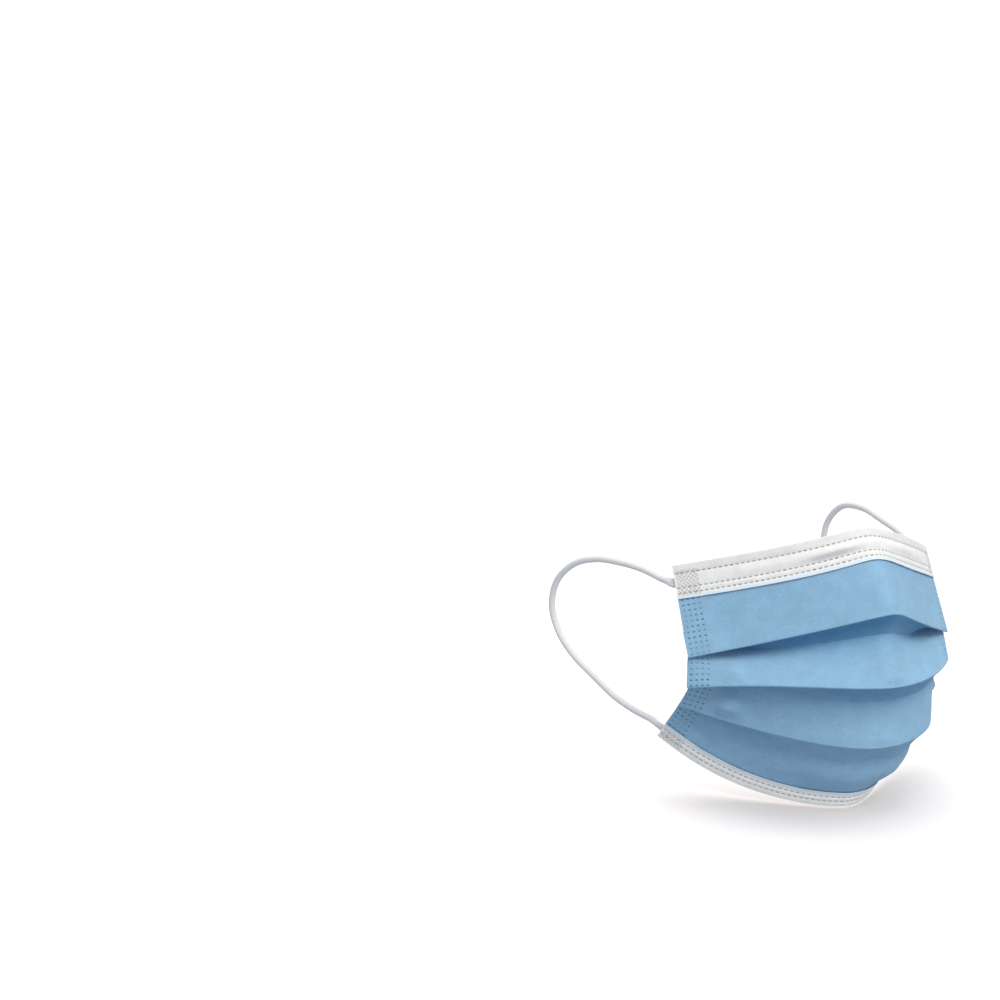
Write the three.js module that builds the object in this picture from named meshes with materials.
// Three-ply surgical face mask with three pleats, in the form it takes when worn
//
// Millimetres, +Z up. The origin is where the mask sits on the nose bridge, in the middle of its top edge.
// The blue outside faces -Y and the wearer is at +Y. The cloth is described by sections: a section is a cut
// at one share of the half width, from -1 at one cheek through 0 at the nose line to 1 at the other cheek.

import * as THREE from "three";

// Driving sizes of the worn mask
const halfWidth = 71;
const wornHeight = 122;
const cheekSetback = 40.6;
const noseReach = 32.2;

// Cloth, pleats and the clearance that neighbouring pieces keep
const clothWall = 1;
const pleatDepth = 10.5;
const seamGap = 0.3;

// White bindings folded over the top and bottom edges, and the wire in the pocket of the top one
const bindingWall = 1;
const topBindingWidth = 15;
const bottomBindingWidth = 9.2;
const wirePocket = 10;
const wireLength = 120;
const wireWidth = 4;
const wireThickness = 0.8;

// Elastic ear loops
const cordDiameter = 3;
const cordSides = 8;
const cordSteps = 28;

// Fineness of the faceted surfaces
const stationsAcross = 36;
const stationsAlongWire = 20;
const facetsInFold = 3;
const facetsInStrip = 2;
const facetsInPanel = 5;
// Strides in which the length of half a row is measured
const stridesInRow = 400;

// Each row is an edge of the panel or the outer crease of a pleat, from the nose line to the side edge.
// reach: how far forward its middle stands, a share of noseReach
// drop, sideDrop: how far below the origin its middle and its end lie, shares of wornHeight
// out, back: how far from the nose line and how far back it ends, shares of halfWidth and cheekSetback
// ridge: how softly it bends back round the nose line, a share of its own half width
// fall: the power with which it drops or rises on the way to the side
const rows = {
  topEdge: { reach: 0, drop: 0, out: 0.969, back: 1, sideDrop: 0.193, ridge: 0.63, fall: 1.27 },
  firstFold: { reach: 0.8, drop: 0.253, out: 0.992, back: 0.486, sideDrop: 0.478, ridge: 0.07, fall: 1.08 },
  secondFold: { reach: 1, drop: 0.501, out: 1, back: 0.433, sideDrop: 0.581, ridge: 0.74, fall: 2.41 },
  thirdFold: { reach: 0.873, drop: 0.733, out: 0.961, back: 0.635, sideDrop: 0.67, ridge: 0.4, fall: 2.04 },
  bottomEdge: { reach: 0.308, drop: 1, out: 0.968, back: 0.959, sideDrop: 0.819, ridge: 0.18, fall: 2.43 },
};

// How softly every row passes over the nose line, seen from the front, a share of the half width
const crownSoftness = 0.1;

// Each pleat hangs from its fold and opens towards the nose line, where the panel below it bellies out.
// swing: angle at the nose line between the tucked strip and the line to the next row, in degrees
// belly: how far the panel below swells there, a share of pleatDepth
const pleats = [
  { fold: "firstFold", next: "secondFold", swing: 31, belly: 0.1 },
  { fold: "secondFold", next: "thirdFold", swing: 29, belly: 0.24 },
  { fold: "thirdFold", next: "bottomEdge", swing: 13, belly: 0.45 },
];

// Routes of the two ear loops, hand-chosen points from the top corner to the bottom corner
const loopRoutes = {
  ear_loop_right: [
    [-58.3, 31.9, -27.6],
    [-62.5, 35.3, -29.5],
    [-66.6, 38.9, -31.4],
    [-69.2, 44.5, -31.1],
    [-73.0, 56.5, -29.4],
    [-77.6, 68.3, -29.3],
    [-82.1, 80.1, -30.8],
    [-86.5, 90.9, -35.7],
    [-89.8, 98.6, -45.1],
    [-90.3, 100.7, -57.5],
    [-88.2, 96.0, -69.0],
    [-84.7, 87.3, -77.5],
    [-80.3, 77.2, -83.8],
    [-75.9, 66.8, -89.8],
    [-72.6, 55.8, -95.0],
    [-68.6, 43.8, -95.2],
    [-65.9, 38.5, -94.8],
    [-61.9, 35.1, -98.2],
    [-57.8, 31.8, -101.2],
  ],
  ear_loop_left: [
    [58.3, 31.9, -27.6],
    [62.5, 35.3, -29.5],
    [66.6, 38.9, -31.4],
    [67.5, 43.7, -28.6],
    [65.7, 54.0, -21.4],
    [62.4, 65.6, -17.2],
    [60.4, 78.0, -14.7],
    [58.4, 90.3, -17.0],
    [56.8, 98.0, -26.7],
    [56.5, 98.1, -39.3],
    [57.5, 91.7, -50.3],
    [58.7, 82.8, -59.3],
    [59.9, 72.9, -67.3],
    [61.1, 62.7, -75.0],
    [63.1, 52.6, -82.6],
    [66.0, 43.1, -90.7],
    [65.9, 38.5, -94.8],
    [61.9, 35.1, -98.2],
    [57.8, 31.8, -101.2],
  ],
};

const foldRadius = (clothWall + seamGap) / 2;
// How many fold radii the inner crease of a closed pleat keeps behind the panel above
const pressedRadii = 3.3;
const bindingRadius = clothWall / 2 + seamGap + bindingWall / 2;

const blueCloth = new THREE.MeshStandardMaterial({ color: 0x7fabce, roughness: 0.9, metalness: 0 });
const whiteCloth = new THREE.MeshStandardMaterial({ color: 0xf2f2f0, roughness: 0.9, metalness: 0 });
const coatedWire = new THREE.MeshStandardMaterial({ color: 0xe4e4e2, roughness: 0.5, metalness: 0 });
const whiteElastic = new THREE.MeshStandardMaterial({ color: 0xf4f4f4, roughness: 0.95, metalness: 0 });

// Rows and pins
//
// A section is worked out in its own plane, with y to the back and z up, as a belt of cloth that runs over
// thin pins. A pin with a positive radius lies inside an outer crease, one with a negative radius lies in
// front of an inner crease, and one without a radius only leads the belt. A pin's lean is how much longer
// a slanting cut through the wall is than the wall is thick.

function makePin(at, x, lean) {
  return { at, x, lean, radius: 0, facetsBelow: 1, belly: 0 };
}

// Share of the way from the nose line to the side, rounded off at the nose line by softness
function softShare(across, softness) {
  return (Math.hypot(across, softness) - softness) / (Math.hypot(1, softness) - softness);
}

function rowPin(row, share) {
  const across = Math.abs(share);
  const front = -noseReach * row.reach;
  const depth = cheekSetback * row.back - front;
  const fallen = softShare(across, crownSoftness) ** row.fall;
  const at = new THREE.Vector2(
    front + depth * softShare(across, row.ridge),
    -wornHeight * THREE.MathUtils.lerp(row.drop, row.sideDrop, fallen),
  );
  const steepness = across / Math.hypot(across, row.ridge) / (Math.hypot(1, row.ridge) - row.ridge);
  const lean = Math.hypot(1, (depth * steepness) / (halfWidth * row.out));
  return makePin(at, halfWidth * row.out * share, lean);
}

function foldPin(row, share) {
  const pin = rowPin(row, share);
  pin.at.add(new THREE.Vector2(foldRadius * pin.lean, foldRadius));
  return { ...pin, radius: foldRadius, facetsBelow: facetsInStrip };
}

// Pin at a distance from one pin towards another
function pinBetween(from, to, distance) {
  const share = distance / from.at.distanceTo(to.at);
  const x = THREE.MathUtils.lerp(from.x, to.x, share);
  return makePin(from.at.clone().lerp(to.at, share), x, THREE.MathUtils.lerp(from.lean, to.lean, share));
}

// The panel below a pleat reaches from the inner crease to the next row. At the side edge it lies flat, and
// towards the nose line its belly takes up some of its height.
function panelChord(pleat, share) {
  const baseAt = (station) =>
    foldPin(rows[pleat.fold], station).at.distanceTo(foldPin(rows[pleat.next], station).at);
  const swing = THREE.MathUtils.degToRad(pleat.swing);
  const middle = baseAt(0);
  const opened = Math.sqrt(pleatDepth ** 2 + middle ** 2 - 2 * pleatDepth * middle * Math.cos(swing));
  return THREE.MathUtils.lerp(opened, baseAt(1) + pleatDepth, share * share);
}

// The inner crease is the third corner of a triangle on the fold and the next row, because the cloth keeps
// its lengths. Where the pleat is closed, the tucked strip stops against the panel above.
function innerCreasePin(pleat, fold, next, above, share) {
  const upwards = above.at.clone().sub(fold.at).angle();
  const downwards = next.at.clone().sub(fold.at).angle();
  const between = THREE.MathUtils.euclideanModulo(upwards - downwards, 2 * Math.PI);
  const base = fold.at.distanceTo(next.at);
  const chord = panelChord(pleat, share);
  const cosine = (pleatDepth ** 2 + base ** 2 - chord ** 2) / (2 * pleatDepth * base);
  const opened = Math.acos(THREE.MathUtils.clamp(cosine, -1, 1));
  const pressed = Math.asin((pressedRadii * foldRadius * fold.lean) / pleatDepth);
  const direction = upwards - Math.max(between - opened, pressed);
  const strip = new THREE.Vector2(Math.cos(direction), Math.sin(direction)).multiplyScalar(pleatDepth);
  return {
    ...makePin(fold.at.clone().add(strip), fold.x, fold.lean),
    radius: -foldRadius,
    facetsBelow: facetsInPanel,
    belly: pleat.belly * pleatDepth * (1 - share * share) ** 2,
  };
}

// Belts

// Angle that a belt turns by at a pin: towards the face at an outer crease, away from it at an inner one
function turnAt(pin, before, after) {
  const turn = THREE.MathUtils.euclideanModulo(after.angle() - before.angle(), 2 * Math.PI);
  return pin.radius < 0 && turn > 0 ? turn - 2 * Math.PI : turn;
}

// Points of the belt that lies offset outwards from the middle of the cloth
function beltPoints(pins, offset) {
  const radii = pins.map((pin) => (pin.radius + offset) * pin.lean);
  const normals = pins.slice(1).map((pin, i) => {
    const run = pin.at.clone().sub(pins[i].at);
    const tilt = (radii[i] - radii[i + 1]) / run.length();
    run.normalize();
    const square = new THREE.Vector2(run.y, -run.x).multiplyScalar(Math.sqrt(1 - tilt * tilt));
    return square.addScaledVector(run, tilt);
  });

  const points = [];
  const addPoint = (x, at) => points.push(new THREE.Vector3(x, at.x, at.y));
  pins.forEach((pin, i) => {
    const next = pins[i + 1];
    const before = normals[i - 1] ?? normals[i];
    const after = normals[i] ?? before;
    const isCrease = pin.radius !== 0 && i > 0 && next !== undefined;
    const facets = isCrease ? facetsInFold : 0;
    for (let k = 0; k <= facets; k++) {
      const arm = before.clone().multiplyScalar(radii[i]);
      if (isCrease) arm.rotateAround(new THREE.Vector2(), (turnAt(pin, before, after) * k) / facets);
      addPoint(pin.x, pin.at.clone().add(arm));
    }
    if (next === undefined) return;
    const start = pin.at.clone().addScaledVector(after, radii[i]);
    const end = next.at.clone().addScaledVector(after, radii[i + 1]);
    for (let k = 1; k < pin.facetsBelow; k++) {
      const step = k / pin.facetsBelow;
      const hump = 4 * step * (1 - step); // 0 at both ends and 1 halfway
      const at = start.clone().lerp(end, step).addScaledVector(after, pin.belly * hump ** 2);
      addPoint(THREE.MathUtils.lerp(pin.x, next.x, step), at);
    }
  });
  return points;
}

// Closed solid of cloth between an outer and an inner belt, from -reach to +reach across the mask
function clothSolid(pinsAt, wall, reach, stations) {
  const rings = [];
  for (let i = 0; i <= stations; i++) {
    const pins = pinsAt(reach * ((2 * i) / stations - 1));
    rings.push([...beltPoints(pins, wall / 2), ...beltPoints(pins, -wall / 2).reverse()]);
  }
  const count = rings[0].length;
  const lastRing = stations * count;
  const triangles = [];
  const addQuad = (a, b, c, d) => triangles.push(a, b, c, a, c, d);
  for (let i = 0; i < stations; i++) {
    for (let k = 0; k < count; k++) {
      const next = (k + 1) % count;
      addQuad(i * count + k, i * count + next, (i + 1) * count + next, (i + 1) * count + k);
    }
  }
  for (let k = 0; k + 1 < count / 2; k++) {
    const opposite = count - 1 - k;
    addQuad(k, opposite, opposite - 1, k + 1);
    addQuad(lastRing + k, lastRing + k + 1, lastRing + opposite - 1, lastRing + opposite);
  }
  const geometry = new THREE.BufferGeometry().setFromPoints(rings.flat());
  geometry.setIndex(triangles);
  geometry.computeVertexNormals();
  return geometry;
}

// Pleated panel and its two bindings

function upperHem(share) {
  return pinBetween(rowPin(rows.topEdge, share), rowPin(rows.firstFold, share), topBindingWidth);
}

function lowerHem(share) {
  return pinBetween(rowPin(rows.bottomEdge, share), foldPin(rows.thirdFold, share), bottomBindingWidth);
}

function panelPins(share) {
  const topEdge = rowPin(rows.topEdge, share);
  const bottomEdge = rowPin(rows.bottomEdge, share);
  const start = pinBetween(topEdge, upperHem(share), wirePocket);
  const pins = [{ ...start, facetsBelow: facetsInPanel }];
  for (const pleat of pleats) {
    const above = pins[pins.length - 1];
    const fold = foldPin(rows[pleat.fold], share);
    pins.push(fold, innerCreasePin(pleat, fold, foldPin(rows[pleat.next], share), above, share));
  }
  pins.push(lowerHem(share), pinBetween(bottomEdge, lowerHem(share), bindingRadius + bindingWall / 2));
  return pins;
}

// A binding runs up one face of the panel, over its edge and down the other face
function bindingPins(edge, hem) {
  const turn = pinBetween(edge, hem, bindingRadius + bindingWall / 2);
  const pins = [hem, turn, hem];
  return pins.map((pin) => ({ ...pin, radius: bindingRadius, facetsBelow: facetsInStrip }));
}

// Nose wire, a flat strip that stands on the top edge of the panel inside the binding

function wirePins(share) {
  const topEdge = rowPin(rows.topEdge, share);
  const lower = wirePocket - seamGap;
  return [lower - wireWidth, lower].map((depth) => pinBetween(topEdge, upperHem(share), depth));
}

// Share of the half width at which a row has run a given length from the nose line
function shareAtLength(row, length) {
  const stride = 1 / stridesInRow;
  let walked = 0;
  let share = 0;
  while (walked < length && share < 1) {
    const [near, far] = [rowPin(row, share), rowPin(row, share + stride)];
    walked += Math.hypot(far.x - near.x, far.at.distanceTo(near.at));
    share += stride;
  }
  return share;
}

// Ear loops

function cordSolid(route) {
  const curve = new THREE.CatmullRomCurve3(route.map((point) => new THREE.Vector3(...point)));
  const section = new THREE.Shape();
  for (let side = 0; side < cordSides; side++) {
    const angle = (2 * Math.PI * side) / cordSides;
    const [x, y] = [Math.cos(angle), Math.sin(angle)].map((share) => (share * cordDiameter) / 2);
    if (side === 0) section.moveTo(x, y);
    else section.lineTo(x, y);
  }
  return new THREE.ExtrudeGeometry(section, { steps: cordSteps, extrudePath: curve });
}

// Assembly

const mask = new THREE.Group();

function addPiece(name, geometry, material) {
  const piece = new THREE.Mesh(geometry, material);
  piece.name = name;
  mask.add(piece);
}

const topBindingPins = (share) => bindingPins(rowPin(rows.topEdge, share), upperHem(share));
const bottomBindingPins = (share) => bindingPins(rowPin(rows.bottomEdge, share), lowerHem(share));
const wireReach = shareAtLength(rows.topEdge, wireLength / 2);

addPiece("pleated_panel", clothSolid(panelPins, clothWall, 1, stationsAcross), blueCloth);
addPiece("top_binding", clothSolid(topBindingPins, bindingWall, 1, stationsAcross), whiteCloth);
addPiece("bottom_binding", clothSolid(bottomBindingPins, bindingWall, 1, stationsAcross), whiteCloth);
addPiece("nose_wire", clothSolid(wirePins, wireThickness, wireReach, stationsAlongWire), coatedWire);
for (const [name, route] of Object.entries(loopRoutes)) {
  addPiece(name, cordSolid(route), whiteElastic);
}

export default mask;
